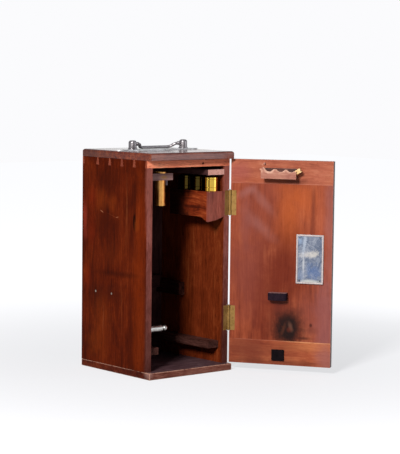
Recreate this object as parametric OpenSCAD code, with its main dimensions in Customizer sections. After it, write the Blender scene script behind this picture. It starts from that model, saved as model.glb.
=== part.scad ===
// Wooden carrying case for an upright instrument: dovetailed box, side-hung door, folding handle,
// fitted racks and rails inside. Units are millimetres.
// X is to the right seen from the front, Y to the back, Z up. The origin is under the middle of the base.
// Every module draws one node in its rest place, which has the door standing open.

/* [Case] */
// Outside width
case_width = 160; // [120:1:220]
// Depth of the box without the door
carcass_depth = 160; // [120:1:220]
// Full height without the handle
case_height = 336; // [280:1:400]
// Thickness of the two sides
side_thickness = 10.5; // [8:0.5:14]
// Thickness of the dovetailed top
top_thickness = 11; // [8:0.5:14]
// Thickness of the back
back_thickness = 10; // [6:0.5:14]
// Thickness of the base board
base_thickness = 10.5; // [8:0.5:14]
// Thickness of the lid board
lid_thickness = 11.5; // [8:0.5:14]
// How far lid and base stand out over the front
front_overhang = 10; // [8:0.5:14]
// Rounding of the lid's upper edges
lid_round = 3.6; // [1:0.2:5]
// Rounding of the base's edges
base_round = 1.4; // [0.6:0.2:3]
// Whole pins between the two end pins of the top joint
dovetail_pins = 4; // [2:1:6]
// Width of a pin where it meets the inside
pin_wide = 6.8; // [4:0.2:10]
// Width of a pin at the upper face
pin_narrow = 2.8; // [2:0.2:5]

/* [Door] */
// Thickness of the door
door_thickness = 9.6; // [8:0.2:13]
// Gap between door and neighbours at top, bottom and behind
door_gap = 0.4; // [0.3:0.1:1]
// How far the door stands open
door_open = 123.3; // [0:0.1:170]
// Height of the upper cleat
top_cleat = 36.3; // [28:0.1:44]
// Height of the lower cleat
bottom_cleat = 37.5; // [28:0.1:44]
// Thickness of the tongues
tongue_thickness = 3.2; // [2:0.1:4]
// Length of the tongues
tongue_length = 5; // [4:0.5:6]

/* [Hinges] */
// Length of a hinge
hinge_length = 38; // [30:1:50]
// Height of the lower hinge's middle
hinge_low = 80; // [60:1:110]
// Distance of the upper hinge's middle below the lid
hinge_drop = 67.5; // [55:0.5:100]
// Outer radius of the knuckles
knuckle_radius = 2.5; // [2.2:0.1:3]
// Radius of the hinge pin
hinge_pin_radius = 1.2; // [1:0.1:1.5]
// Thickness of a leaf
leaf_thickness = 1.2; // [1:0.1:1.6]
// Width of a leaf on the wood
leaf_width = 7.6; // [7:0.1:8]
// How far the pin's axis stands outside the case
axis_out = 1.2; // [1:0.1:2]
// Radial play of door knuckles on the pin
pin_play = 0.06; // [0.02:0.01:0.1]

/* [Lock] */
// Distance of the lock from the free edge
lock_inset = 31; // [24:1:50]
// Radius at which the drive pin turns
crank_radius = 5; // [4:0.1:5.5]
// Thickness of the bolt
bolt_thickness = 2.2; // [1.6:0.1:2.6]
// Width of the bolt
bolt_width = 13; // [12:0.5:15]
// Radius of the key's shank
key_radius = 1.8; // [1.4:0.1:2.2]

/* [Handle] */
// Distance between the posts' middles
post_spacing = 98.5; // [80:0.5:120]
// Radius of a post
post_radius = 6.2; // [5:0.1:8]
// Height of a post above the plate
post_height = 13.8; // [13:0.1:20]
// Rounding of a post's top
post_round = 3.6; // [1:0.1:4]
// Height of the pivot above the plate
pivot_height = 8.2; // [7:0.1:10]
// Distance of the grip from the pivot
bail_drop = 10.6; // [9:0.1:16]
// Radius of the grip bar
bail_radius = 2.2; // [1.6:0.1:2.4]
// Length along which the grip's ends bend up to the eyes
bail_bend = 15; // [11:0.5:18]
// Length of the plate
plate_length = 156; // [120:1:158]
// Width of the plate
plate_width = 17; // [14:0.5:24]
// Thickness of the plate
plate_thickness = 1.5; // [1:0.1:2.5]

/* [Right hand rack] */
// How far slab and tray stand out from the wall
rack_reach = 32.5; // [30:0.5:36]
// Gap between the slab and the top above it
slab_drop = 5; // [3:0.5:20]
// Thickness of the slab
slab_thickness = 8.5; // [6:0.5:10]
// Length of the slab
slab_length = 117; // [90:1:140]
// Height of the tray's walls
tray_height = 39; // [30:1:45]
// Thickness of the tray's side
tray_wall = 3.5; // [2.5:0.5:4]
// Thickness of the tray's floor
tray_floor_thickness = 5; // [3:0.5:8]
// Length of the tray
tray_length = 91; // [88:1:110]
// Outer radius of the round boxes
can_radius = 13.2; // [11:0.1:13.4]
// Height of a round box with its lid
can_height = 56; // [48:1:60]
// Room for the fingers between the boxes and the slab
can_room = 3; // [2:0.5:10]
// Height of a round box's lid
can_lid = 18; // [12:1:24]
// Step from one round box to the next
can_pitch = 28; // [27.5:0.1:30]

/* [Left hand bracket] */
// Length of the bracket from the wall
bracket_reach = 53.8; // [45:0.1:56]
// Depth of the bracket from front to back
bracket_depth = 20; // [20:1:26]
// Gap between the bracket and the top above it
bracket_drop = 9.7; // [8:0.1:20]
// Thickness of the bracket
bracket_thickness = 10.4; // [8:0.1:12]
// Outer radius of the hanging tube
tube_radius = 8; // [6:0.1:8.4]
// Length of the tube below its flange
tube_length = 48; // [40:1:60]

/* [Guides] */
// Height of the foot rails' underside
rail_low = 33.6; // [28:0.1:40]
// Thickness of the foot rails
rail_thickness = 10.6; // [8:0.1:14]
// How far the foot rails stand out
rail_reach = 21.5; // [15:0.5:26]
// Height of the middle ledges' underside
ledge_low = 106.2; // [100:0.1:115]
// Height of the middle ledges
ledge_height = 19.8; // [14:0.1:24]
// How far the middle ledges stand out
ledge_reach = 10; // [8:0.5:14]
// Place of the ledge's front nail, from the middle of the depth
nail_first = 9.5; // [4:0.5:20]
// Distance between the ledge's two nails
nail_pitch = 40.1; // [20:0.1:50]
// Height of the nails above the ledge's underside
nail_rise = 13.6; // [4:0.1:16]
// How far the batten on the back is above the ledges' underside
batten_rise = 8; // [0:0.5:12]
// Height of the batten
batten_height = 19.4; // [12:0.1:24]
// Thickness of the batten
batten_thickness = 9; // [6:0.5:12]
// Height of the clamp's axis
clamp_height = 72; // [60:1:90]
// Radius of the clamp's barrel
clamp_radius = 4.8; // [4:0.1:6]
// Length of the clamp's barrel
clamp_length = 30.5; // [20:0.5:34]

/* [Fittings on the door] */
// Depth of the door's rack
door_rack_depth = 16; // [14:0.5:17]
// Length of the door's rack
door_rack_length = 54.7; // [48:0.1:55]
// Distance of the rack's underside below the door's upper edge
rack_drop = 27.7; // [25:0.1:34]
// Width of the framed plate
label_width = 42; // [34:0.5:43]
// Height of the framed plate's lower edge
label_low = 138; // [128:1:160]
// Height of the framed plate
label_height = 74.5; // [60:0.5:80]
// Width of the padded block
stop_width = 28.7; // [20:0.1:32]
// Height of the padded block
stop_height = 12; // [8:0.5:16]
// Depth of the padded block
stop_depth = 13; // [8:0.5:16]
// Height of the padded block's underside
stop_low = 111; // [100:1:118]
// Radius of the padded block's bulging front
stop_bulge = 42; // [30:1:60]
// Side of the square pad
pad_size = 19.5; // [14:0.5:24]
// Height of the square pad's lower edge
pad_low = 17.8; // [12:0.1:24]

/* [Fits] */
// Gap in glued and seated joints
seat_gap = 0.05; // [0.02:0.01:0.1]

/* [Hidden] */
$fn = 48;
half_w = case_width / 2;
half_d = (carcass_depth + front_overhang) / 2;
front_y = -half_d + front_overhang;
back_y = half_d;
floor_z = base_thickness;
lid_z = case_height - lid_thickness;
inner_x = half_w - side_thickness;
inner_back = back_y - back_thickness;
ceiling_z = lid_z - top_thickness;
axis_x = half_w + axis_out;
axis_y = front_y - door_gap / 2;
door_inner = front_y - door_gap;
door_outer = door_inner - door_thickness;
door_low = floor_z + door_gap + 0.2;
door_high = lid_z - door_gap - 0.2;
door_right = half_w - 0.1;
door_left = -half_w + 0.5;
lock_x = door_left + lock_inset;
lock_z = door_high - 17.5;
lock_y = door_inner - door_thickness / 2;
crank_lift = crank_radius * sqrt(2);
plate_z = case_height + plate_thickness;
pivot_z = plate_z + pivot_height;
tray_front_y = front_y;
can_x = inner_x - (rack_reach - tray_wall) / 2;
bracket_y = front_y + 19;
tube_x = -inner_x + bracket_reach - 17;
tube_y = bracket_y + bracket_depth / 2;
clamp_y = front_y + 15;
catch_x = 27;
catch_z = ceiling_z + top_thickness * 0.43;
hinge_high = lid_z - hinge_drop;
slab_low = ceiling_z - slab_drop - slab_thickness;
tray_low = slab_low - can_room - can_height - tray_floor_thickness;
bracket_low = ceiling_z - bracket_drop - bracket_thickness;
rack_z = door_high - rack_drop;
bail_tilt = acos((pivot_height - bail_radius - 0.3) / bail_drop);

// Shared shapes

module box(a, b) {
    translate(a) cube(b - a);
}

module tube_x(length, radius) {
    rotate([0, 90, 0]) cylinder(h = length, r = radius);
}

module tube_y(length, radius) {
    rotate([-90, 0, 0]) cylinder(h = length, r = radius);
}

module open_door() {
    translate([axis_x, axis_y, 0]) rotate([0, 0, door_open]) translate([-axis_x, -axis_y, 0]) children();
}

// A board whose upper (or lower) long edges are rounded all round
module soft_profile(w, t, r_top, r_low) {
    difference() {
        translate([-w / 2, 0]) square([w, t]);
        for (s = [-1, 1]) {
            difference() {
                translate([s * (w / 2 - r_top / 2) - r_top / 2, t - r_top]) square([r_top, r_top]);
                translate([s * (w / 2 - r_top), t - r_top]) circle(r = r_top);
            }
            difference() {
                translate([s * (w / 2 - r_low / 2) - r_low / 2, 0]) square([r_low, r_low]);
                translate([s * (w / 2 - r_low), r_low]) circle(r = r_low);
            }
        }
    }
}

module soft_board(t, r_top, r_low) {
    intersection() {
        translate([0, half_d, 0]) rotate([90, 0, 0])
            linear_extrude(height = 2 * half_d) soft_profile(case_width, t, r_top, r_low);
        translate([-half_w, 0, 0]) rotate([90, 0, 90])
            linear_extrude(height = case_width) soft_profile(2 * half_d, t, r_top, r_low);
    }
}

// Countersunk screw along -Z with its head's face at z = 0; grow widens it into its hole
module screw(head, shank, length, grow, slot) {
    difference() {
        union() {
            translate([0, 0, -0.5]) cylinder(h = 0.5 + grow, r = head + grow);
            translate([0, 0, -0.5 - head + shank])
                cylinder(h = head - shank, r1 = shank + grow, r2 = head + grow);
            translate([0, 0, -length - grow]) cylinder(h = length, r = shank + grow);
        }
        if (slot) translate([-head - 1, -0.35, -0.45]) cube([2 * head + 2, 0.7, 1]);
    }
}

// Through dovetails of the top

pin_pitch = (carcass_depth - 1.5) / (dovetail_pins + 1.26);
function pin_at(i) = front_y + pin_pitch * (i + 1.03);

module pin_shape(grow) {
    polygon([[-pin_wide / 2 - grow, -0.01], [pin_wide / 2 + grow, -0.01],
        [pin_narrow / 2 + grow, top_thickness + 0.01], [-pin_narrow / 2 - grow, top_thickness + 0.01]]);
}

module end_pin_shape(grow) {
    polygon([[-1, -0.01], [pin_wide * 0.72 + grow, -0.01],
        [pin_wide * 0.42 + grow, top_thickness + 0.01], [-1, top_thickness + 0.01]]);
}

module pins_outline(grow) {
    for (i = [0 : dovetail_pins - 1]) translate([pin_at(i), ceiling_z]) pin_shape(grow);
    translate([front_y, ceiling_z]) end_pin_shape(grow);
    translate([back_y, ceiling_z]) mirror([1, 0]) end_pin_shape(grow);
}

// Hinge geometry, drawn in the closed door's place

function hinge_z() = [hinge_low, hinge_high];
knuckle = hinge_length / 5;
function screw_steps() = [-hinge_length / 2 + 6.5, 0, hinge_length / 2 - 6.5];
leaf_screw_x = axis_x - knuckle_radius - leaf_width / 2 - 0.6;

module knuckle_room() {
    for (z = hinge_z()) translate([axis_x, axis_y, z - hinge_length / 2 - 1])
        cylinder(h = hinge_length + 2, r = knuckle_radius + 0.35);
}

module leaf_plate(z, y_low) {
    box([axis_x - knuckle_radius - leaf_width, y_low, z - hinge_length / 2],
        [axis_x - hinge_pin_radius - 0.35, y_low + leaf_thickness, z + hinge_length / 2]);
}

module leaf(z, y_low, first, play) {
    difference() {
        union() {
            difference() {
                leaf_plate(z, y_low);
                for (k = [1 - first : 2 : 4])
                    translate([axis_x, axis_y, z - hinge_length / 2 + k * knuckle - 0.15])
                        cylinder(h = knuckle + 0.3, r = knuckle_radius + 0.3);
            }
            for (k = [first : 2 : 4])
                translate([axis_x, axis_y, z - hinge_length / 2 + k * knuckle + (first == 0 ? 0 : 0.25)])
                    cylinder(h = knuckle - (first == 0 ? 0 : 0.5), r = knuckle_radius);
        }
        translate([axis_x, axis_y, z - hinge_length]) cylinder(h = 2 * hinge_length, r = hinge_pin_radius + play);
    }
}

module leaf_screws(side, grow, slot) {
    for (z = hinge_z(), dz = screw_steps())
        translate([leaf_screw_x, side > 0 ? front_y : door_inner, z + dz])
            rotate([side > 0 ? 90 : -90, 0, 0]) screw(1.9, 0.9, 7, grow, slot);
}

// Case boards

module left_side() {
    color("sienna") difference() {
        box([-half_w, front_y, floor_z], [-inner_x, back_y, lid_z]);
        translate([-half_w - 1, 0, 0]) rotate([90, 0, 90])
            linear_extrude(height = side_thickness + 2) pins_outline(seat_gap);
        translate([-inner_x, clamp_y, clamp_height]) rotate([0, -90, 0])
            cylinder(h = 4, r = 3.05);
        nails(0.02);
    }
}

module right_side() {
    color("sienna") difference() {
        box([inner_x, front_y, floor_z], [half_w, back_y, lid_z]);
        translate([inner_x - 1, 0, 0]) rotate([90, 0, 90])
            linear_extrude(height = side_thickness + 2) pins_outline(seat_gap);
        knuckle_room();
        for (z = hinge_z()) box([axis_x - knuckle_radius - leaf_width - seat_gap, front_y - 1,
            z - hinge_length / 2 - seat_gap], [half_w + 1, front_y + leaf_thickness + seat_gap,
            z + hinge_length / 2 + seat_gap]);
        leaf_screws(1, 0.02, false);
    }
}

module carcass_top() {
    color("peru") difference() {
        union() {
            box([-inner_x, front_y, ceiling_z], [inner_x, back_y, lid_z]);
            intersection() {
                translate([-half_w, 0, 0]) rotate([90, 0, 90])
                    linear_extrude(height = case_width) pins_outline(0);
                box([-half_w, front_y, ceiling_z], [half_w, back_y, lid_z]);
            }
        }
        translate([catch_x, front_y - 1, catch_z]) tube_y(7, 1.75);
    }
}

module back_panel() {
    color("saddlebrown") box([-inner_x, inner_back, floor_z], [inner_x, back_y, ceiling_z]);
}

function base_screw_spots() = [for (s = [-1, 1], y = [front_y + 18, (front_y + back_y) / 2, back_y - 18])
    [s * (half_w - side_thickness / 2), y]];

module base_board() {
    color("sienna") difference() {
        soft_board(base_thickness, base_round, base_round);
        for (p = base_screw_spots()) translate([p[0], p[1], 0]) mirror([0, 0, 1]) screw(3.4, 1.7, 30, 0.03, false);
    }
}

module base_screws() {
    color("goldenrod") for (p = base_screw_spots())
        translate([p[0], p[1], 0]) mirror([0, 0, 1]) screw(3.4, 1.7, floor_z - 0.1, 0, true);
}

module lid_board() {
    color("sienna") translate([0, 0, lid_z]) difference() {
        soft_board(lid_thickness, lid_round, 0.8);
        translate([lock_x + 1.5 - bolt_width / 2 - 0.7, lock_y - 1.6, -1])
            cube([bolt_width + 1.4, 5.2, 8.6]);
        translate([lock_x + 1.5 - 10.05, lock_y - 3.25, -1]) cube([20.1, 8.1, 2.05]);
        for (p = handle_screw_spots()) translate([p[0], p[1], lid_thickness + plate_thickness])
            screw(2.4, 1.1, 9, 0.03, false);
    }
}

// Nails that hold the left ledge from outside
module nails(grow) {
    for (y = [nail_first, nail_first + nail_pitch])
        translate([-half_w, y, ledge_low + nail_rise]) rotate([0, 90, 0]) {
        cylinder(h = 0.8 + grow, r = 1.7 + grow);
        cylinder(h = side_thickness, r = 0.8 + grow);
    }
}

module ledge_nails() {
    color("silver") for (y = [nail_first, nail_first + nail_pitch])
        translate([-half_w, y, ledge_low + nail_rise]) rotate([0, 90, 0]) {
        cylinder(h = 0.8, r = 1.7);
        cylinder(h = side_thickness - 0.3, r = 0.8);
    }
}

// Door boards

panel_low = door_low + bottom_cleat;
panel_high = door_high - top_cleat;

module tongue(z, up, grow) {
    y_mid = (door_inner + door_outer) / 2;
    box([door_left + 6 - grow, y_mid - tongue_thickness / 2 - grow, up > 0 ? z - 1 : z - tongue_length - grow],
        [door_right - 6 + grow, y_mid + tongue_thickness / 2 + grow, up > 0 ? z + tongue_length + grow : z + 1]);
}

module door_leaf_room() {
    knuckle_room();
    for (z = hinge_z()) box([axis_x - knuckle_radius - leaf_width - seat_gap,
        door_inner - leaf_thickness - seat_gap, z - hinge_length / 2 - seat_gap],
        [half_w + 1, door_inner + 1, z + hinge_length / 2 + seat_gap]);
    leaf_screws(-1, 0.02, false);
}

module door_panel() {
    color("chocolate") open_door() difference() {
        union() {
            box([door_left, door_outer, panel_low], [door_right, door_inner, panel_high]);
            tongue(panel_high, 1, 0);
            tongue(panel_low, -1, 0);
        }
        door_leaf_room();
    }
}

module door_top_cleat() {
    color("peru") open_door() difference() {
        box([door_left, door_outer, panel_high], [door_right, door_inner, door_high]);
        tongue(panel_high, 1, seat_gap);
        translate([catch_x, door_inner + 1, catch_z]) mirror([0, 1, 0]) tube_y(7, 1.5);
        lock_room();
        door_leaf_room();
    }
}

module door_bottom_cleat() {
    color("peru") open_door() difference() {
        box([door_left, door_outer, door_low], [door_right, door_inner, panel_low]);
        tongue(panel_low, -1, seat_gap);
        door_leaf_room();
    }
}

// Hinges

module hinge_case_leaves() {
    color("goldenrod") difference() {
        for (z = hinge_z()) leaf(z, front_y, 0, 0.02);
        leaf_screws(1, 0.03, false);
    }
}

module hinge_door_leaves() {
    color("goldenrod") open_door() difference() {
        for (z = hinge_z()) leaf(z, door_inner - leaf_thickness, 1, pin_play);
        leaf_screws(-1, 0.03, false);
    }
}

module hinge_pins() {
    color("darkgoldenrod") for (z = hinge_z()) translate([axis_x, axis_y, z - hinge_length / 2 - 0.6]) {
        cylinder(h = hinge_length + 0.6, r = hinge_pin_radius);
        translate([0, 0, hinge_length + 0.6]) cylinder(h = 1.1, r1 = 2.1, r2 = 1.3);
    }
}

module hinge_case_screws() {
    color("gold") leaf_screws(1, 0, true);
}

module hinge_door_screws() {
    color("gold") open_door() leaf_screws(-1, 0, true);
}

// Pin at the door's upper edge that finds the hole in the top's front edge
module catch_pin() {
    color("tan") open_door() translate([catch_x, door_inner - 6, catch_z]) {
        tube_y(9.7, 1.45);
        translate([0, 9.7, 0]) rotate([-90, 0, 0]) cylinder(h = 1, r1 = 1.45, r2 = 0.8);
    }
}

// Lock in the upper cleat: key, plug with a drive pin, and a bolt that rises into the lid

module lock_room() {
    box([lock_x - 9.1, lock_y - 2.8, lock_z - 12.1], [lock_x + 12.1, lock_y + 2.8, door_high + 1]);
    box([lock_x + 1.5 - 16.05, lock_y - 3.55, door_high - 1.25], [lock_x + 1.5 + 16.05, lock_y + 3.55, door_high + 1]);
    translate([lock_x, door_outer - 1, lock_z]) tube_y(4, key_radius + 0.5);
    translate([lock_x, door_outer - 1, lock_z]) tube_y(1.85, 7.05);
}

module lock_case() {
    color("goldenrod") open_door() difference() {
        union() {
            box([lock_x - 9, lock_y - 2.7, lock_z - 12], [lock_x + 12, lock_y + 2.7, door_high - 1.2]);
            box([lock_x + 1.5 - 16, lock_y - 3.5, door_high - 1.2], [lock_x + 1.5 + 16, lock_y + 3.5, door_high]);
        }
        box([lock_x - 8.2, lock_y - 1.9, lock_z - 11.2], [lock_x + 11.2, lock_y + 1.9, door_high - 2.4]);
        box([lock_x + 1.5 - bolt_width / 2 - 0.15, lock_y + 1.8 - bolt_thickness - 0.25, door_high - 3],
            [lock_x + 1.5 + bolt_width / 2 + 0.15, lock_y + 1.9, door_high + 1]);
        translate([lock_x, lock_y - 4, lock_z]) tube_y(3, key_radius + 0.06);
    }
}

module lock_bolt() {
    color("darkkhaki") open_door() difference() {
        box([lock_x + 1.5 - bolt_width / 2, lock_y + 1.8 - bolt_thickness, lock_z - 9],
            [lock_x + 1.5 + bolt_width / 2, lock_y + 1.8, door_high - 0.3]);
        box([lock_x + 1.9, lock_y - 2, lock_z - crank_lift / 2 - 1.6],
            [lock_x + crank_radius + 1.6, lock_y + 2, lock_z - crank_lift / 2 + 1.6]);
    }
}

module lock_plug() {
    color("gold") open_door() translate([lock_x, 0, lock_z]) {
        translate([0, lock_y - 1.8, 0]) tube_y(1.2, 6.4);
        translate([crank_radius / sqrt(2), lock_y - 0.8, -crank_radius / sqrt(2)]) tube_y(2.3, 1.2);
    }
}

module key() {
    color("gray") open_door() translate([lock_x, 0, lock_z]) {
        translate([0, door_outer - 13, 0]) tube_y(13 + lock_y - 1.8 - door_outer, key_radius);
        translate([0, door_outer - 12.2, 0]) tube_y(1.6, key_radius + 1);
        translate([0, door_outer - 20.5, 0]) difference() {
            translate([0, 0, -1.25]) cylinder(h = 2.5, r = 8.5);
            translate([0, 0, -2]) cylinder(h = 4, r = 5.2);
        }
    }
}

module escutcheon() {
    color("goldenrod") open_door() translate([lock_x, door_outer, lock_z]) difference() {
        tube_y(0.8, 7);
        translate([0, -1, 0]) tube_y(3, key_radius + 0.3);
    }
}

module keep_plate() {
    color("goldenrod") difference() {
        box([lock_x + 1.5 - 10, lock_y - 3.2, lid_z], [lock_x + 1.5 + 10, lock_y + 4.8, lid_z + 1]);
        box([lock_x + 1.5 - bolt_width / 2 - 0.6, lock_y - 1.6, lid_z - 1],
            [lock_x + 1.5 + bolt_width / 2 + 0.6, lock_y + 3.6, lid_z + 2]);
    }
}

// Rack on the door: shelf against the door, scalloped strip in front, one ear broken

rack_right = 29;
rack_left = rack_right - door_rack_length;

module rack_shelf() {
    color("burlywood") open_door() {
        box([rack_left + 3, door_inner, rack_z + 3], [rack_right - 3, door_inner + 3, rack_z + 15.4]);
        box([rack_left + 1, door_inner, rack_z], [rack_right - 1, door_inner + door_rack_depth - 3.2, rack_z + 3]);
    }
}

module rack_strip() {
    color("rosybrown") open_door() translate([0, door_inner + door_rack_depth, 0]) rotate([90, 0, 0])
        linear_extrude(height = 3.2) difference() {
            union() {
                translate([rack_left, rack_z]) square([door_rack_length, 14.4]);
                translate([rack_right - 3.4, rack_z + 13.6]) circle(r = 3.4);
            }
            for (x = [0.235, 0.56, 0.852]) translate([rack_right - door_rack_length * x, rack_z + 18.4]) circle(r = 7.7);
            translate([rack_left - 1, rack_z + 12.4]) square([5, 4]);
        }
}

module rack_broken_ear() {
    color("wheat") open_door() translate([rack_left - 2.4, door_inner + door_rack_depth - 3.3, rack_z + 12.1])
        difference() {
            rotate([0, 31, 0]) translate([-4.3, -4.6, -3.2]) cube([8.6, 4.6, 6.4]);
            translate([-12, -6, 3.1]) rotate([0, 20, 0]) cube([9, 8, 6]);
        }
}

// Framed plate, padded block and pad

label_right = -24.7;

module label_frame() {
    color("gainsboro") open_door() difference() {
        box([label_right - label_width, door_inner, label_low], [label_right, door_inner + 3, label_low + label_height]);
        box([label_right - label_width + 2.4, door_inner + 1.6, label_low + 2.4],
            [label_right - 2.4, door_inner + 4, label_low + label_height - 2.4]);
        box([label_right - label_width + 1.2, door_inner - 1, label_low + 1.2],
            [label_right - 1.2, door_inner + 1.9, label_low + label_height - 1.2]);
    }
}

module label_face() {
    color("lightsteelblue") open_door() difference() {
        box([label_right - label_width + 1.25, door_inner, label_low + 1.25],
            [label_right - 1.25, door_inner + 1.88, label_low + label_height - 1.25]);
        label_nail_shapes(0.02);
    }
}

module label_nail_shapes(grow) {
    for (x = [5.2, label_width - 5.2], z = [5, label_height - 5])
        translate([label_right - x, door_inner + 1.2, label_low + z]) tube_y(1.3 + grow, 1 + grow);
}

module label_nails() {
    color("dimgray") open_door() label_nail_shapes(0);
}

stop_right = 16.7;
pad_right = 11.8;

module stop_block() {
    color("darkslateblue") open_door() intersection() {
        box([stop_right - stop_width, door_inner, stop_low],
            [stop_right, door_inner + stop_depth, stop_low + stop_height]);
        translate([stop_right - stop_width / 2, door_inner + stop_depth - stop_bulge, stop_low - 1])
            cylinder(h = stop_height + 2, r = stop_bulge, $fn = 96);
    }
}

module square_pad() {
    color("black") open_door()
        box([pad_right - pad_size, door_inner, pad_low], [pad_right, door_inner + 2.6, pad_low + pad_size * 0.87]);
}

// Right hand rack with its round boxes

module retaining_slab() {
    color("burlywood") box([inner_x - rack_reach, front_y, slab_low],
        [inner_x, front_y + slab_length, slab_low + slab_thickness]);
}

module tray_front() {
    color("burlywood") translate([0, tray_front_y + 3, 0]) rotate([90, 0, 0]) linear_extrude(height = 3)
        polygon([[inner_x - rack_reach, tray_low - 7], [inner_x - rack_reach / 2, tray_low - 5],
            [inner_x, tray_low], [inner_x, tray_low + tray_height], [inner_x - rack_reach, tray_low + tray_height]]);
}

module tray_side() {
    color("peru") translate([inner_x - rack_reach, 0, 0]) rotate([90, 0, 90]) linear_extrude(height = tray_wall)
        polygon([[tray_front_y + 3, tray_low - 6], [tray_front_y + 8, tray_low - 4.2],
            [tray_front_y + 13, tray_low - 1], [tray_front_y + 18, tray_low],
            [tray_front_y + tray_length, tray_low], [tray_front_y + tray_length, tray_low + tray_height],
            [tray_front_y + 3, tray_low + tray_height]]);
}

module tray_end() {
    color("peru") box([inner_x - rack_reach + tray_wall, tray_front_y + tray_length - 3.5, tray_low],
        [inner_x, tray_front_y + tray_length, tray_low + tray_height]);
}

module tray_floor() {
    color("peru") box([inner_x - rack_reach + tray_wall, tray_front_y + 3, tray_low],
        [inner_x, tray_front_y + tray_length - 3.5, tray_low + tray_floor_thickness]);
}

function can_y(i) = tray_front_y + 3.3 + can_radius + i * can_pitch;

module at_cans() {
    for (i = [0 : 2]) translate([can_x, can_y(i), tray_low + tray_floor_thickness]) children();
}

module can_bodies() {
    body = can_height - can_lid;
    color("gold") at_cans() difference() {
        union() {
            cylinder(h = 1.4, r1 = can_radius - 0.6, r2 = can_radius);
            translate([0, 0, 1.4]) cylinder(h = body - 1.4, r = can_radius);
            translate([0, 0, body]) cylinder(h = 6, r = can_radius - 1);
        }
        translate([0, 0, 1.6]) cylinder(h = can_height, r = can_radius - 2);
    }
}

module can_lids() {
    body = can_height - can_lid;
    color("goldenrod") at_cans() translate([0, 0, body]) difference() {
        union() {
            cylinder(h = can_lid - 1.2, r = can_radius);
            translate([0, 0, can_lid - 1.2]) cylinder(h = 1.2, r1 = can_radius, r2 = can_radius - 1);
        }
        translate([0, 0, -1]) cylinder(h = can_lid - 0.8, r = can_radius - 0.95);
        translate([0, 0, 1.6]) rotate_extrude() translate([can_radius, 0]) circle(r = 0.35, $fn = 16);
        translate([0, 0, can_lid - 4]) rotate_extrude() translate([can_radius, 0]) circle(r = 0.35, $fn = 16);
    }
}

// Left hand bracket with its hanging tube

module tube_bracket() {
    color("burlywood") difference() {
        box([-inner_x, bracket_y, bracket_low],
            [-inner_x + bracket_reach, bracket_y + bracket_depth, bracket_low + bracket_thickness]);
        translate([tube_x, tube_y, bracket_low - 1]) cylinder(h = bracket_thickness + 2, r = tube_radius + 0.1);
        translate([tube_x + tube_radius + 4, tube_y, bracket_low - 1]) cylinder(h = 7, r = 2.22);
    }
}

module hanging_tube() {
    color("goldenrod") translate([tube_x, tube_y, bracket_low + bracket_thickness]) difference() {
        union() {
            cylinder(h = 2, r = tube_radius + 1.6);
            translate([0, 0, -tube_length]) cylinder(h = tube_length + 1, r = tube_radius);
            translate([0, 0, -tube_length - 0.6]) cylinder(h = 3, r = tube_radius + 0.08);
        }
        translate([0, 0, -tube_length - 1]) cylinder(h = tube_length + 4, r = tube_radius - 1.4);
    }
}

module bracket_peg() {
    color("tan") translate([tube_x + tube_radius + 4, tube_y, bracket_low - 8]) cylinder(h = 14, r = 2.2);
}

// Ledges, batten, rails and clamp

module mid_ledges() {
    color("saddlebrown") {
        box([-inner_x, 2, ledge_low], [-inner_x + ledge_reach, inner_back, ledge_low + ledge_height]);
        box([inner_x - ledge_reach, 17.3, ledge_low], [inner_x, inner_back, ledge_low + ledge_height]);
    }
}

module back_batten() {
    color("saddlebrown") box([-inner_x + ledge_reach, inner_back - batten_thickness, ledge_low + batten_rise],
        [inner_x - ledge_reach, inner_back, ledge_low + batten_rise + batten_height]);
}

module foot_rails() {
    color("saddlebrown") for (s = [-1, 1]) {
        x = s > 0 ? inner_x - rail_reach : -inner_x;
        box([x, front_y + 9, rail_low], [x + rail_reach, inner_back, rail_low + rail_thickness]);
    }
}

module clamp_barrel() {
    color("silver") translate([-inner_x, clamp_y, clamp_height]) rotate([0, 90, 0]) difference() {
        union() {
            translate([0, 0, -3.8]) cylinder(h = 4, r = 3);
            cylinder(h = 1.6, r = clamp_radius + 2.4);
            cylinder(h = clamp_length, r = clamp_radius);
        }
        translate([0, 0, clamp_length - 22]) cylinder(h = 30, r = 2.06);
    }
}

module clamp_screw() {
    color("gainsboro") translate([-inner_x + clamp_length, clamp_y, clamp_height]) rotate([0, 90, 0]) {
        translate([0, 0, -18]) cylinder(h = 21, r = 2);
        translate([0, 0, 6.8]) sphere(r = 4.2);
    }
}

// Folding handle

function handle_screw_spots() = [for (s = [-1, 1], x = [68, 29]) [s * x, 0]];

module plate_shape() {
    square([plate_length - 36, plate_width], center = true);
    intersection() {
        translate([0, plate_length / 2 * 2.17 - plate_width / 2]) circle(r = plate_length * 1.085, $fn = 180);
        translate([0, -plate_length / 2 * 2.17 + plate_width / 2]) circle(r = plate_length * 1.085, $fn = 180);
        square([plate_length, plate_width], center = true);
    }
    for (s = [-1, 1]) translate([s * (plate_length / 2 - 18), 0]) intersection() {
        translate([0, 15]) circle(r = 23.4);
        translate([0, -15]) circle(r = 23.4);
    }
}

module handle_plate() {
    color("lightgray") translate([0, 0, case_height]) difference() {
        linear_extrude(height = plate_thickness) intersection() {
            plate_shape();
            square([plate_length, plate_width], center = true);
        }
        for (p = handle_screw_spots()) translate([p[0], p[1], plate_thickness]) screw(2.4, 1.1, 9, 0.03, false);
        for (s = [-1, 1]) translate([s * post_spacing / 2, 0, -1]) cylinder(h = 5, r = 3.03);
    }
}

module handle_screws() {
    color("silver") for (p = handle_screw_spots())
        translate([p[0], p[1], plate_z]) screw(2.4, 1.1, 9, 0, true);
}

module post_profile() {
    square([post_radius - post_round, post_height]);
    square([post_radius, post_height - post_round]);
    intersection() {
        translate([post_radius - post_round, post_height - post_round]) circle(r = post_round);
        square([post_radius, post_height]);
    }
    square([post_radius + 1, 1.6]);
    translate([0, -plate_thickness]) square([3, 3]);
}

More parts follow.
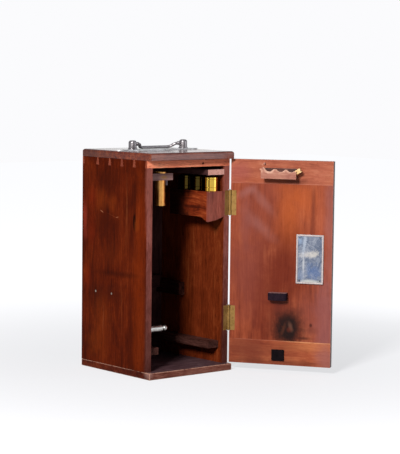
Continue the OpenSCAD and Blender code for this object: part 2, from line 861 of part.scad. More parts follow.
module handle_posts() {
    color("silver") for (s = [-1, 1]) translate([s * post_spacing / 2, 0, plate_z]) difference() {
        rotate_extrude() post_profile();
        translate([s > 0 ? -post_radius - 1 : 0, 0, pivot_height]) tube_x(post_radius + 1, 1.7);
    }
}

end_x = post_spacing / 2 - post_radius - 3.4;
knee_x = end_x - bail_bend;
bend_angle = 2 * atan(bail_drop / bail_bend);
bend_radius = bail_bend / 2 / sin(bend_angle);

// Ball whose seam and poles lie away from the bars that run into it
module ball(radius, turn) {
    rotate([0, turn, 0]) rotate([90, 0, 0]) sphere(r = radius);
}

// Half of the bend: a bar on an arc that starts along X at the origin and turns upwards
module bend() {
    spare = 0.8;
    translate([0, 0, bend_radius]) rotate([90, 0, 0]) rotate([0, 0, spare - 90])
        rotate_extrude(angle = bend_angle - 2 * spare) translate([bend_radius, 0]) circle(r = bail_radius);
}

module bail_end() {
    translate([end_x, 0, 0]) tube_x(8.6, 1.63);
    translate([end_x, 0, 0]) ball(3.1, -90);
    translate([end_x, 0, 0]) rotate([0, 180, 0]) bend();
    translate([end_x - bail_bend / 2, 0, -bail_drop / 2]) ball(bail_radius + 0.2, 0);
    translate([knee_x, 0, -bail_drop]) ball(bail_radius + 0.2, 90);
    translate([knee_x, 0, -bail_drop]) bend();
}

module handle_bail() {
    color("gainsboro") translate([0, 0, pivot_z]) rotate([bail_tilt, 0, 0]) {
        translate([0.1 - knee_x, 0, -bail_drop]) tube_x(2 * knee_x - 0.2, bail_radius);
        bail_end();
        mirror([1, 0, 0]) bail_end();
    }
}

left_side();
right_side();
carcass_top();
back_panel();
base_board();
lid_board();
base_screws();
ledge_nails();
door_panel();
door_top_cleat();
door_bottom_cleat();
hinge_case_leaves();
hinge_door_leaves();
hinge_pins();
hinge_case_screws();
hinge_door_screws();
catch_pin();
rack_strip();
rack_shelf();
rack_broken_ear();
label_frame();
label_face();
label_nails();
stop_block();
square_pad();
lock_case();
lock_bolt();
lock_plug();
key();
escutcheon();
keep_plate();
retaining_slab();
tray_front();
tray_side();
tray_end();
tray_floor();
can_bodies();
can_lids();
tube_bracket();
hanging_tube();
bracket_peg();
mid_ledges();
back_batten();
foot_rails();
clamp_barrel();
clamp_screw();
handle_plate();
handle_screws();
handle_posts();
handle_bail();
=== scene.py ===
"""Looks of a wooden carrying case: mahogany boards, pale fitted racks, brass, nickel and leather fittings."""

import math

import bpy
import numpy as np
from mathutils import Matrix, Vector

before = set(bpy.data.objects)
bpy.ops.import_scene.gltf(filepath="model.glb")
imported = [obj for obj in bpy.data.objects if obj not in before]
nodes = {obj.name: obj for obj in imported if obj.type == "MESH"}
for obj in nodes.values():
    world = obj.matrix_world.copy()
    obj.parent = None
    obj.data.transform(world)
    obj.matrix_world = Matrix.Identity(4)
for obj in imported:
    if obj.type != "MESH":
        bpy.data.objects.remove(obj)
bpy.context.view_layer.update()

# Millimetres in one of the frame's metres
MM = 1000

# The door's hinge axis in millimetres, and how far the door stands open
HINGE = (81.2, -75.2)
OPEN = math.radians(123.3)

# Directions that the faces of the resting part look in
FRONT = (0, -1, 0)
LEFT = (-1, 0, 0)
RIGHT = (1, 0, 0)
UP = (0, 0, 1)
DOWN = (0, 0, -1)
DOOR_OUT = (math.sin(OPEN), -math.cos(OPEN), 0)
DOOR_EDGE = (-math.cos(OPEN), -math.sin(OPEN), 0)

# Settings of the nodes that are used most
TIMES = {"operation": "MULTIPLY"}
PLUS = {"operation": "ADD"}
MINUS = {"operation": "SUBTRACT"}
TIMES_PLUS = {"operation": "MULTIPLY_ADD"}
SMOOTH = {"interpolation_type": "SMOOTHSTEP"}
# A Mix node for colours, and the sockets of its share, base, top and result
BLEND = {"data_type": "RGBA"}
BLEND_SHARE, BLEND_BASE, BLEND_TOP, BLEND_OUT = 0, 6, 7, 2

# Cosines from which a face starts to look in a direction, and at which it does so fully
FACING = (0.6, 0.85)
# Levels between which the clouds of tone move the roughness
CLOUD_LEVELS = (0.3, 0.7)


def linear(code):
    """Linear colour of an sRGB hex code"""
    values = [int(code[i : i + 2], 16) / 255 for i in (0, 2, 4)]
    return tuple(v / 12.92 if v <= 0.04045 else ((v + 0.055) / 1.055) ** 2.4 for v in values) + (1.0,)


def add(tree, kind, settings, inputs, out=0):
    """Adds a node, sets its properties, fills or links its inputs, and gives back one of its outputs"""
    node = tree.nodes.new("ShaderNode" + kind)
    for key, value in settings.items():
        setattr(node, key, value)
    pairs = inputs.items() if isinstance(inputs, dict) else enumerate(inputs)
    for key, value in pairs:
        if isinstance(value, bpy.types.NodeSocket):
            tree.links.new(value, node.inputs[key])
        else:
            node.inputs[key].default_value = value
    return node.outputs[out] if len(node.outputs) else None


def new_material(name):
    """An empty node material and its tree"""
    material = bpy.data.materials.new(name)
    material.use_nodes = True
    material.node_tree.nodes.clear()
    return material, material.node_tree


def place(tree, on_door):
    """Object coordinates in millimetres; on the door they are those of the closed door"""
    metres = add(tree, "TexCoord", {}, [], "Object")
    p = add(tree, "VectorMath", TIMES, [metres, (MM, MM, MM)])
    if on_door:
        p = add(tree, "VectorMath", MINUS, [p, (*HINGE, 0)])
        p = add(tree, "VectorRotate", {"rotation_type": "Z_AXIS"}, {"Vector": p, "Angle": -OPEN})
        p = add(tree, "VectorMath", PLUS, [p, (*HINGE, 0)])
    return p


def streaks(tree, p, size, detail=3.0, rough=0.55, warp=0.0):
    """Noise whose features measure `size` millimetres along X, Y and Z"""
    scaled = add(tree, "VectorMath", TIMES, [p, tuple(1 / s for s in size)])
    inputs = {"Vector": scaled, "Scale": 1.0, "Detail": detail, "Roughness": rough, "Distortion": warp}
    return add(tree, "TexNoise", {}, inputs)


def ramp(tree, value, stops):
    """Colour from a value through stops of (place, hex code)"""
    node = tree.nodes.new("ShaderNodeValToRGB")
    tree.links.new(value, node.inputs[0])
    while len(node.color_ramp.elements) < len(stops):
        node.color_ramp.elements.new(0.5)
    for element, (at, code) in zip(node.color_ramp.elements, stops):
        element.position = at
        element.color = linear(code)
    return node.outputs[0]


def layer(tree, base, mask, weight, code):
    """Lays a colour over the base where the mask is 1, with a weight"""
    share = add(tree, "Math", TIMES, [mask, weight])
    top = code if isinstance(code, bpy.types.NodeSocket) else linear(code)
    return add(tree, "Mix", BLEND, {BLEND_SHARE: share, BLEND_BASE: base, BLEND_TOP: top}, BLEND_OUT)


def patch(tree, p, ragged, centre, half, turn, soft):
    """1 inside a turned ellipse of half sizes `half`, 0 outside; a half size of 0 lets it run through"""
    local = add(tree, "VectorMath", MINUS, [p, centre])
    if turn:
        axis = {"rotation_type": "XYZ"[[bool(h) for h in half].index(False)] + "_AXIS"}
        local = add(tree, "VectorRotate", axis, {"Vector": local, "Angle": math.radians(turn)})
    scaled = add(tree, "VectorMath", TIMES, [local, tuple(1 / h if h else 0 for h in half)])
    radius = add(tree, "VectorMath", {"operation": "LENGTH"}, [scaled], 1)
    radius = add(tree, "Math", PLUS, [radius, ragged])
    return add(tree, "MapRange", SMOOTH, [radius, 1 + soft, 1 - soft])


def lay_marks(tree, base, p, ragged, marks):
    """Lays each mark (centre, half sizes, turn in degrees, softness, colour, weight) over the base"""
    for centre, half, turn, soft, code, weight in marks:
        base = layer(tree, base, patch(tree, p, ragged, centre, half, turn, soft), weight, code)
    return base


def facing(tree, direction):
    """1 on faces that look in a direction of the resting part"""
    normal = add(tree, "TexCoord", {}, [], "Normal")
    along = add(tree, "VectorMath", {"operation": "DOT_PRODUCT"}, [normal, direction], 1)
    return add(tree, "MapRange", SMOOTH, [along, *FACING])


def edges(tree, p, box, width):
    """1 along the edges of a box, where two of the three distances to its faces are small"""
    from_low = add(tree, "VectorMath", MINUS, [p, box[0]])
    from_high = add(tree, "VectorMath", MINUS, [box[1], p])
    near = add(tree, "VectorMath", {"operation": "MINIMUM"}, [from_low, from_high])
    split = tree.nodes.new("ShaderNodeSeparateXYZ")
    tree.links.new(near, split.inputs[0])
    x, y, z = split.outputs
    least, most, total = x, x, x
    for other in (y, z):
        least = add(tree, "Math", {"operation": "MINIMUM"}, [least, other])
        most = add(tree, "Math", {"operation": "MAXIMUM"}, [most, other])
        total = add(tree, "Math", PLUS, [total, other])
    middle = add(tree, "Math", MINUS, [add(tree, "Math", MINUS, [total, least]), most])
    return add(tree, "MapRange", SMOOTH, [middle, width, 0.0])


def mm_box(name, on_door=False):
    """Corners of a CAD node in millimetres, of the closed door for the door's nodes"""
    points = np.zeros(len(nodes[name].data.vertices) * 3, np.float32)
    nodes[name].data.vertices.foreach_get("co", points)
    points = points.reshape(-1, 3) * MM
    if on_door:
        x, y = points[:, 0] - HINGE[0], points[:, 1] - HINGE[1]
        c, s = math.cos(-OPEN), math.sin(-OPEN)
        points = np.stack([c * x - s * y + HINGE[0], s * x + c * y + HINGE[1], points[:, 2]], 1)
    return tuple(map(float, points.min(0))), tuple(map(float, points.max(0)))


def surface(material, tree, base, rough, height, strength, depth, extra):
    """Closes a material with its colour, roughness, bump and the shader's own plain values"""
    bumped = add(tree, "Bump", {}, {"Height": height, "Strength": strength, "Distance": depth / MM})
    inputs = {"Base Color": base, "Roughness": rough, "Normal": bumped, **extra}
    shader = add(tree, "BsdfPrincipled", {}, inputs)
    add(tree, "OutputMaterial", {}, [shader])
    return material


AXES = {"X": (1, 0, 0), "Y": (0, 1, 0), "Z": (0, 0, 1)}
# Layers of the grain: millimetres across it and along it, and the noise's detail
BANDS, LINES, PORES = (8, 150, 4), (2.0, 36, 4), (0.8, 11, 2)
# How much bands, clouds, fine lines and pale flecks each move the tone
BAND_SHARE, CLOUD_SHARE, LINE_SHARE, FLECK_SHARE = 0.52, 0.6, 0.4, 0.25
# The grain wavers sideways: millimetres across it, along it, and of the widest shove
WAVER_ACROSS, WAVER_ALONG, WAVER_SHOVE = 60, 160, 22
# Levels of the noise over which a pore turns to a pale fleck, a pore turns dark, and an arris is rubbed bare
PALE_LEVELS, DARK_LEVELS, BARE_LEVELS = (0.42, 0.3), (0.57, 0.7), (0.36, 0.52)
# Width of the rubbed strip along an arris, in millimetres
BARE_WIDTH = 1.6


def wood(name, stops, grain, seed, on_door=False, roughness=0.4, specular=0.3, coat=0.0, figure=1.0,
         pores=0.6, marks=(), faces=(), stains=(), box=None, worn=None, wear=0.7):
    """Sawn, planed and varnished wood with its grain along `grain`: bands, fine lines and pores stretched
    along the grain, broad clouds of tone, then marks and painted shadows, faces of another tone, among them
    painted sheen and painted light, stains and painted shade over them, and edges worn pale; the seed
    shifts the noise, so that each board has its own figure"""
    material, tree = new_material(name)
    p = place(tree, on_door)
    shifted = add(tree, "VectorMath", PLUS, [p, (seed, seed * 1.7, seed * 0.6)])
    along = AXES[grain]
    waver = streaks(tree, shifted, [WAVER_ALONG if a else WAVER_ACROSS for a in along], 2)
    shove = add(tree, "VectorMath", TIMES, [waver, [0 if a else WAVER_SHOVE for a in along]])
    q = add(tree, "VectorMath", PLUS, [shifted, shove])
    bands, fine, pore = (
        streaks(tree, q, [length if a else across for a in along], detail, 0.6)
        for across, length, detail in (BANDS, LINES, PORES)
    )
    clouds = streaks(tree, shifted, (44, 44, 64), 3, 0.6, 0.6)
    tone = add(tree, "Math", TIMES_PLUS, [bands, BAND_SHARE * figure, -BAND_SHARE / 2 * figure])
    tone = add(tree, "Math", TIMES_PLUS, [clouds, CLOUD_SHARE, tone])
    tone = add(tree, "Math", TIMES_PLUS, [fine, LINE_SHARE, tone])
    flecks = add(tree, "MapRange", SMOOTH, [pore, *PALE_LEVELS])
    tone = add(tree, "Math", TIMES_PLUS, [flecks, FLECK_SHARE * pores, tone])
    base = ramp(tree, tone, stops)
    dark = add(tree, "MapRange", SMOOTH, [pore, *DARK_LEVELS])
    ragged = add(tree, "Math", TIMES_PLUS, [streaks(tree, p, (26, 26, 26), 4, 0.65), 1.5, -0.75])
    base = lay_marks(tree, base, p, ragged, marks)
    for direction, face_stops in faces:
        base = layer(tree, base, facing(tree, direction), 1.0, ramp(tree, tone, face_stops))
    base = lay_marks(tree, base, p, ragged, stains)
    base = layer(tree, base, dark, pores, stops[0][1])
    if box:
        bare = add(tree, "MapRange", SMOOTH, [streaks(tree, p, (14, 14, 9), 5, 0.75), *BARE_LEVELS])
        bare = add(tree, "Math", TIMES, [edges(tree, p, box, BARE_WIDTH), bare])
        base = layer(tree, base, bare, wear, worn)
    rough = add(tree, "MapRange", SMOOTH, [clouds, *CLOUD_LEVELS, roughness - 0.05, roughness + 0.08])
    height = add(tree, "Math", TIMES_PLUS, [dark, -0.7, fine])
    extra = {"Specular IOR Level": specular, "Coat Weight": coat, "Coat Roughness": 0.12}
    return surface(material, tree, base, rough, height, 0.3, 0.1, extra)


def metal(name, stops, roughness, stain, amount, size=12.0, marks=()):
    """Polished or plated metal under cloudy tarnish: clouds `size` millimetres wide move colour and
    roughness, finer stains dull it in spots, and marks lie over both"""
    material, tree = new_material(name)
    p = place(tree, False)
    clouds = streaks(tree, p, (size, size, size), 4, 0.6)
    stains = streaks(tree, p, (size / 2.5,) * 3, 4, 0.7)
    scuffs = streaks(tree, p, (0.8, 0.8, 0.8), 2)
    spots = add(tree, "MapRange", SMOOTH, [stains, 0.5, 0.7])
    base = layer(tree, ramp(tree, clouds, stops), spots, amount, stain)
    base = lay_marks(tree, base, p, 0.0, marks)
    rough = add(tree, "MapRange", SMOOTH, [clouds, *CLOUD_LEVELS, roughness, roughness * 1.8])
    return surface(material, tree, base, rough, scuffs, 0.12, 0.05, {"Metallic": 1.0})


def hide(name, stops, upper_face_tone):
    """Dark dyed leather or felt over a pad: dull, finely pebbled, and paler where it looks up, as painted
    light
    """
    material, tree = new_material(name)
    p = place(tree, True)
    clouds = streaks(tree, p, (9, 9, 9), 4, 0.6)
    cells = add(tree, "TexVoronoi", {"feature": "DISTANCE_TO_EDGE"}, {"Vector": p, "Scale": 0.9})
    pebbles = add(tree, "MapRange", SMOOTH, [cells, 0.0, 0.25])
    base = layer(tree, ramp(tree, clouds, stops), facing(tree, UP), 1.0, upper_face_tone)
    return surface(material, tree, base, 0.6, pebbles, 0.35, 0.15, {"Specular IOR Level": 0.03})


def tinned_sheet(name, marks):
    """Thin sheet gone blue grey under old paste: mottled, with cream smears"""
    material, tree = new_material(name)
    p = place(tree, True)
    clouds = streaks(tree, p, (13, 13, 13), 5, 0.72, 1.2)
    specks = streaks(tree, p, (1.8, 1.8, 1.8), 3, 0.7)
    ragged = add(tree, "Math", TIMES_PLUS, [streaks(tree, p, (4, 4, 4), 4, 0.75), 3.0, -1.5])
    base = ramp(tree, clouds, [(0.3, "394256"), (0.44, "576176"), (0.56, "787f8e"), (0.72, "9da0ab")])
    base = lay_marks(tree, base, p, ragged, marks)
    base = layer(tree, base, add(tree, "MapRange", SMOOTH, [specks, 0.55, 0.7]), 0.35, "c4c8ce")
    rough = add(tree, "MapRange", SMOOTH, [clouds, *CLOUD_LEVELS, 0.4, 0.65])
    return surface(material, tree, base, rough, clouds, 0.2, 0.2, {"Metallic": 0.3})


# Tones of the woods, from dark to light
OUTSIDE = [(0.32, "340e05"), (0.44, "451406"), (0.56, "561b08"), (0.72, "6c290f")]
STAINED = [(0.30, "30191c"), (0.44, "3e2425"), (0.58, "4c2f2e"), (0.76, "5e3e3a")]
INSIDE = [(0.32, "4c1a0a"), (0.44, "60240e"), (0.56, "6e2b12"), (0.72, "84401f")]
# Floor inside the case: dust with a painted sheen
DUST_AND_SHEEN = [(0.32, "382628"), (0.44, "4a3438"), (0.56, "584044"), (0.72, "70585c")]
# Front edges of the sides: the wood with a painted pinkish sheen
EDGE_WOOD_AND_SHEEN = [(0.30, "5a2a22"), (0.44, "774038"), (0.58, "8e524a"), (0.76, "a66c60")]
ORANGE = [(0.32, "6a2b1a"), (0.44, "823a23"), (0.56, "92442a"), (0.72, "a65839")]
RAIL = [(0.30, "7c3c28"), (0.44, "99503a"), (0.58, "aa5e44"), (0.76, "bc765a")]
PALE = [(0.30, "946052"), (0.44, "b47c6c"), (0.58, "c48e7e"), (0.76, "d6a492")]
END_GRAIN = [(0.30, "64281a"), (0.50, "7c3824"), (0.70, "8e4830")]
HEAD_RAIL = [(0.30, "c66c4e"), (0.44, "e07e5c"), (0.58, "f08c68"), (0.76, "f8a882")]
BASE = [(0.32, "2a0d08"), (0.44, "40160d"), (0.56, "542012"), (0.72, "6c301c")]
BASE_FRONT = [(0.32, "4c231b"), (0.44, "64362c"), (0.56, "75453a"), (0.72, "8e6052")]
LID = [(0.32, "32110a"), (0.44, "46190f"), (0.56, "581f15"), (0.72, "703522")]
LID_FRONT = [(0.30, "4c221c"), (0.44, "6a362d"), (0.58, "804638"), (0.76, "945e4e")]
LID_LEFT = [(0.32, "340e04"), (0.44, "561c0a"), (0.56, "702c12"), (0.72, "8e4824")]
LOWER_RAIL = [(0.30, "7c3420"), (0.44, "9c4c30"), (0.58, "b05e3c"), (0.76, "c27448")]
DOOR_SIDE = [(0.30, "2c2220"), (0.5, "4a3a38"), (0.7, "6a5654")]
RACK = [(0.30, "8a4c3e"), (0.44, "a06452"), (0.58, "ae7460"), (0.76, "bc8872")]
SLAB_FRONT = [(0.30, "b47c6c"), (0.44, "d0988a"), (0.58, "dcaa9c"), (0.76, "e8bcae")]
TRAY_FRONT = [(0.30, "5c281e"), (0.44, "7c3c30"), (0.58, "944c3e"), (0.76, "ac6454")]
TRAY_SIDE = [(0.32, "48180c"), (0.44, "702812"), (0.56, "8a381a"), (0.72, "ac5830")]

# Marks of the left side: centre and half sizes in millimetres, turn, softness, colour, weight
LEFT_MARKS = [
    ((0, 36, 262), (0, 12, 14), 0, 0.9, "8e3c12", 0.28),
    ((0, 8, 257), (0, 8, 12), 0, 0.9, "8e3c12", 0.24),
    ((0, 61, 262), (0, 9, 13), 0, 0.8, "82240c", 0.31),
    ((0, 60, 214), (0, 9, 22), 0, 0.8, "7c220c", 0.31),
    ((0, 78, 228), (0, 5, 24), 0, 0.8, "963826", 0.5),
    ((0, -34, 222), (0, 7, 30), 0, 0.8, "3e1106", 0.4),
    ((0, 24, 226), (0, 30, 15), 0, 0.8, "3a1006", 0.6),
    ((0, 14, 288), (0, 20, 16), 0, 0.8, "381006", 0.6),
    ((0, -60, 210), (0, 11, 100), 0, 0.7, "7e2c08", 0.36),
    ((0, -56, 70), (0, 16, 80), 0, 0.8, "742806", 0.36),
    ((0, -39, 66), (0, 4, 56), 4, 0.7, "3c1006", 0.5),
    ((0, -46, 255), (0, 3, 36), 0, 0.7, "360e05", 0.55),
    ((0, -45.5, 234), (0, 3.2, 11), 0, 0.5, "120403", 0.95),
    ((0, -52, 229), (0, 5, 9), 0, 0.8, "7c340f", 0.5),
    ((0, 34, 84), (0, 20, 26), 0, 0.8, "7e340f", 0.28),
    ((0, 46, 42), (0, 20, 20), 0, 0.8, "8a3a10", 0.28),
    ((0, 70, 140), (0, 9, 18), 0, 0.8, "86280e", 0.28),
    ((0, 58, 166), (0, 1.6, 40), -9, 0.8, "2c0b05", 0.5),
    ((0, -6, 151), (0, 44, 3.6), 1, 0.95, "280a04", 0.5),
    ((0, 16, 120), (0, 34, 10), 0, 0.8, "3a1207", 0.35),
    ((0, 5, 180), (0, 26, 14), 0, 0.8, "6f2a0d", 0.22),
    ((0, -27.4, 252), (0, 0.4, 40), 1, 0.6, "a06038", 0.4),
    ((0, -25, 226), (0, 0.35, 28), -1, 0.6, "8c4c28", 0.35),
    ((0, 35, 243), (0, 3.8, 0.7), -22, 0.6, "b07050", 0.65),
    ((0, 8, 238), (0, 12, 0.5), -14, 0.9, "7c3c22", 0.4),
    ((0, -3.5, 236.6), (0, 3, 0.6), 10, 0.5, "a86848", 0.55),
    ((0, -16, 96), (0, 0.4, 34), 2, 0.5, "8e4c28", 0.35),
    ((0, 30, 76), (0, 0.5, 20), -3, 0.6, "a05c38", 0.4),
]

# The sides' front edges are darker low down and paler high up
FRONT_EDGE_DARK_LOW_PALE_HIGH = [
    ((0, -76, 0), (0, 4, 130), 0, 0.9, "40201c", 0.8),
    ((0, -76, 285), (0, 4, 45), 0, 0.9, "9c5c50", 0.5),
]

# The base is rubbed at its front left corner, and the lid is darker further back; the tray's side is darkened
# further back by a painted shadow
BASE_STAINS = [((-80, -85, 9), (6, 10, 7), 0, 0.7, "a47c72", 0.6)]
LID_DARKER_BACK = [((0, 74, 0), (0, 46, 0), 0, 0.8, "2a0d07", 0.65)]
TRAY_SIDE_PAINTED_SHADOW = [((0, 34, 0), (0, 64, 0), 0, 0.35, "1a0a07", 0.92)]

# Marks of the door's inner face, in the closed door's X and Z
PANEL_MARKS = [
    ((34, 0, 246), (28, 0, 52), 24, 0.9, "88402f", 0.65),
    ((50, 0, 150), (26, 0, 60), 0, 0.8, "7c3a30", 0.7),
    ((-12, 0, 244), (16, 0, 50), 0, 0.95, "b0521f", 0.6),
    ((-40, 0, 262), (16, 0, 24), 0, 0.9, "bb5a2a", 0.5),
    ((-49.5, 0, 252), (3.2, 0, 28), 0, 0.8, "6c2c1c", 0.7),
    ((-62, 0, 236), (6, 0, 46), 0, 0.9, "b25a3c", 0.5),
    # Painted shadows: one over the middle of the panel, one lower down towards the hinge
    ((-8, 0, 160), (28, 0, 46), 0, 0.9, "601a08", 0.72),
    ((22, 0, 108), (20, 0, 62), 0, 0.9, "641e0c", 0.6),
    ((-70, 0, 78), (14, 0, 84), 0, 0.7, "8e5452", 0.75),
    ((-48, 0, 88), (20, 0, 30), 0, 0.9, "8c483e", 0.5),
    ((-76, 0, 230), (8, 0, 80), 0, 0.8, "9a5a50", 0.65),
    ((52, 0, 276), (14, 0, 5), -30, 0.95, "9c6660", 0.5),
    ((30, 0, 262), (22, 0, 6), 48, 0.95, "9a625a", 0.4),
    ((36, 0, 226), (28, 0, 7), 42, 0.95, "96605a", 0.4),
    ((56, 0, 238), (7, 0, 40), 0, 0.95, "8a4c44", 0.4),
    ((-4, 0, 96), (16, 0, 16), 0, 0.8, "6e2c20", 0.6),
    ((-12, 0, 72), (24, 0, 26), 0, 0.8, "3c180f", 0.85),
    ((-13, 0, 66), (19, 0, 20), 0, 0.6, "140706", 0.95),
    ((-6, 0, 67), (2.2, 0, 8), 18, 0.9, "5a3020", 0.45),
    ((-17, 0, 71), (2.4, 0, 6), -20, 0.9, "7a5040", 0.45),
    ((-15, 0, 66), (3, 0, 3), 0, 0.9, "6c2c1c", 0.4),
    ((-35, 0, 54), (12, 0, 2.0), 0, 0.9, "30110c", 0.7),
    ((-48.3, 0, 74.5), (2.0, 0, 2.4), 0, 0.6, "3c1712", 0.8),
    ((-52, 0, 66), (7, 0, 5), 0, 0.9, "6e3226", 0.5),
    ((0, 0, 106), (18, 0, 4), 0, 0.8, "561f14", 0.6),
]
TOP_CLEAT_MARKS = [
    ((66, 0, 304), (16, 0, 14), 0, 0.8, "9c5048", 0.6),
    # Painted shadow under the rack
    ((-4, 0, 292), (33, 0, 4.6), 0, 0.5, "34140e", 0.7),
    ((-60, 0, 304), (16, 0, 12), 0, 0.9, "a85a44", 0.5),
    ((20, 0, 292), (40, 0, 5), 0, 0.9, "a04c2c", 0.5),
    ((34, 0, 309), (1.2, 0, 1.4), 0, 0.5, "d89c80", 0.9),
    ((31, 0, 316), (0.9, 0, 1.2), 0, 0.5, "d89c80", 0.6),
]
BOTTOM_CLEAT_MARKS = [
    ((-46, 0, 48.5), (44, 0, 1.6), 0.6, 0.8, "e09a68", 0.85),
    ((-50, 0, 41), (40, 0, 6), 0, 0.9, "c4764a", 0.6),
    # Painted shadow round the felt pad
    ((6, 0, 28), (32, 0, 20), 0, 0.9, "6a2e1e", 0.5),
    ((56, 0, 30), (34, 0, 22), 0, 0.8, "6c2f20", 0.8),
    ((-10, 0, 14), (90, 0, 5), 0, 0.8, "64301f", 0.6),
    ((-72, 0, 26), (14, 0, 20), 0, 0.8, "985c54", 0.8),
]
# The rack's right end and length, its scallops' places along it, their height and radius, in millimetres
RACK_RIGHT, RACK_LONG = 29, 54.7
SCALLOP_SHARES, SCALLOP_Z, SCALLOP_RADIUS = (0.235, 0.56, 0.852), 314.5, 9.2
# Bare pale wood round the rack's scallops and at its ends
SCALLOP_RIMS = [
    ((RACK_RIGHT - RACK_LONG * share, 0, SCALLOP_Z), (SCALLOP_RADIUS, 0, SCALLOP_RADIUS), 0, 0.25,
     "e2b49c", 0.8) for share in SCALLOP_SHARES
] + [((-27, 0, 310), (5, 0, 3), 0, 0.4, "ecc890", 0.9), ((29, 0, 308), (3, 0, 3), 0, 0.6, "d8a48c", 0.6)]
# Cream paste and bluer bare spots on the sheet
SHEET_MARKS = [
    ((-38.5, 0, 182), (8.5, 0, 4.2), -14, 0.6, "b8b4b4", 0.7),
    ((-53, 0, 184), (6.4, 0, 4.8), 0, 0.5, "bcb7b0", 0.8),
    ((-46, 0, 181), (6, 0, 3.2), 0, 0.6, "bab5b0", 0.7),
    ((-37.2, 0, 198), (2.2, 0, 16), 8, 0.7, "a9b2c0", 0.7),
    ((-36, 0, 166), (1.3, 0, 15), 0, 0.7, "b8babf", 0.75),
    ((-46, 0, 141.5), (16, 0, 2.6), 0, 0.6, "bcbbb4", 0.85),
    ((-53, 0, 156), (8, 0, 10), 0, 0.7, "465f8c", 0.7),
    ((-44, 0, 160), (4, 0, 10), 0, 0.8, "4c658f", 0.5),
    ((-32, 0, 150), (5, 0, 8), 0, 0.8, "5f7293", 0.5),
    ((-30, 0, 204), (4, 0, 6), 0, 0.8, "8fa2bd", 0.6),
]

# Axis of the foremost round box, in millimetres
CAN = (55, -58.5)
# Round boxes: the two further in are painted dull and dark as painted shade, a dark run marks the foremost,
# and its dark sides are a painted reflection of the dark inside
CAN_PAINTED_SHADE_AND_MARKS = [
    ((0, 18, 0), (0, 62, 0), 0, 0.03, "1c160a", 0.93),
    ((CAN[0] - 9.6, CAN[1] - 9.0, 0), (1.1, 1.1, 0), 0, 0.4, "3c2c0c", 0.8),
    ((CAN[0] + 7.4, CAN[1] - 10.9, 0), (5.2, 3.2, 0), 0, 0.4, "1c1810", 0.92),
    ((CAN[0] - 13, CAN[1] + 1.5, 0), (2.4, 5.5, 0), 0, 0.4, "2a2410", 0.85),
]

